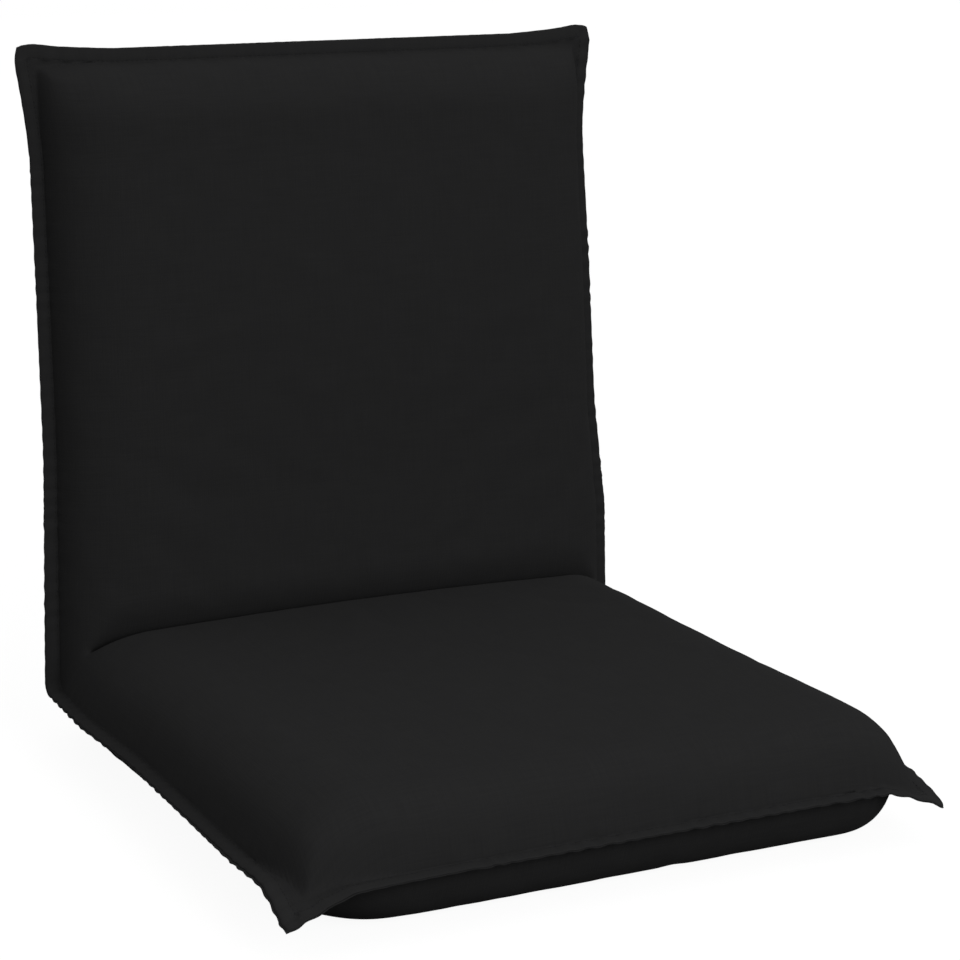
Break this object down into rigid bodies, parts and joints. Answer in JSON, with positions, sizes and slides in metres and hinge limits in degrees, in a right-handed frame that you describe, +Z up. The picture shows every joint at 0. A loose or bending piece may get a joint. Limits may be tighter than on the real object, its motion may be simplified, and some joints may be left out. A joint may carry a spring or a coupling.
{
  "type": "folding floor chair",
  "caption": "Legless folding floor chair: two padded halves in one fabric sleeve, on a steel frame with ratchet hinges that recline flat and fold up.",
  "frame": {"origin": "on the floor, under the middle of the chair's bounding box as it stands open", "axes": "+X across the chair to the sitter's left, the sitter faces -Y, +Z up from the floor"},
  "size_m": [0.548, 0.6128, 0.5833],
  "materials": {
    "cover_cloth": "matte",
    "foam": "matte",
    "webbing": "matte",
    "frame_tube": "satin",
    "hinge_steel": "satin",
    "rivet_steel": "satin",
    "spring_steel": "satin",
    "zip_cloth": "matte",
    "zip_plastic": "satin",
    "zip_metal": "satin"
  },
  "bodies": {
    "seat": {"hinge_cover": "cover_cloth", "left_hinge_inner_plate": "hinge_steel", "left_hinge_outer_plate": "hinge_steel", "left_hinge_pivot": "rivet_steel", "left_pawl_pin": "rivet_steel", "left_pawl_spring": "spring_steel", "left_seat_tube_rivets": "rivet_steel", "right_hinge_inner_plate": "hinge_steel", "right_hinge_outer_plate": "hinge_steel", "right_hinge_pivot": "rivet_steel", "right_pawl_pin": "rivet_steel", "right_pawl_spring": "spring_steel", "right_seat_tube_rivets": "rivet_steel", "seat_cover_bottom": "cover_cloth", "seat_cover_top": "cover_cloth", "seat_foam_base": "foam", "seat_foam_top": "foam", "seat_frame_hoop": "frame_tube", "seat_frame_rail": "frame_tube", "seat_strap_1": "webbing", "seat_strap_2": "webbing", "seat_strap_3": "webbing"},
    "backrest": {"back_cover_front": "cover_cloth", "back_cover_rear": "cover_cloth", "back_foam_front": "foam", "back_foam_rear": "foam", "back_frame_hoop": "frame_tube", "back_frame_rail": "frame_tube", "back_strap_1": "webbing", "back_strap_2": "webbing", "back_strap_3": "webbing", "left_back_tube_rivets": "rivet_steel", "left_hinge_gear_arm": "hinge_steel", "right_back_tube_rivets": "rivet_steel", "right_hinge_gear_arm": "hinge_steel", "zip_coil": "zip_plastic", "zip_end_stops": "zip_metal", "zip_tape": "zip_cloth"},
    "left_pawl": {"left_pawl": "hinge_steel"},
    "right_pawl": {"right_pawl": "hinge_steel"},
    "zip_slider": {"zip_slider": "zip_metal"},
    "zip_pull": {"zip_pull": "zip_metal"}
  },
  "joints": [
    {"name": "backrest_recline", "type": "hinge", "parent": "seat", "child": "backrest", "pos_m": [0, 0.23262, 0.045], "axis": [-1, 0, 0], "range_deg": [-65.25, 87], "deforming": ["seat_cover_top", "back_cover_front", "hinge_cover", "seat_foam_top", "back_foam_front"]},
    {"name": "left_pawl_swing", "type": "hinge", "parent": "seat", "child": "left_pawl", "pos_m": [0.215, 0.20162, 0.041], "axis": [-1, 0, 0], "range_deg": [-9, 0]},
    {"name": "right_pawl_swing", "type": "hinge", "parent": "seat", "child": "right_pawl", "pos_m": [-0.215, 0.20162, 0.041], "axis": [-1, 0, 0], "range_deg": [-9, 0]},
    {"name": "zip_slide", "type": "slide", "parent": "backrest", "child": "zip_slider", "axis": [-1, 0, 0], "range_m": [0, 0.38]},
    {"name": "zip_pull_swing", "type": "hinge", "parent": "zip_slider", "child": "zip_pull", "pos_m": [0.19, 0.30453, 0.48184], "axis": [0, -0.0523, -0.9986], "range_deg": [0, 170]}
  ]
}
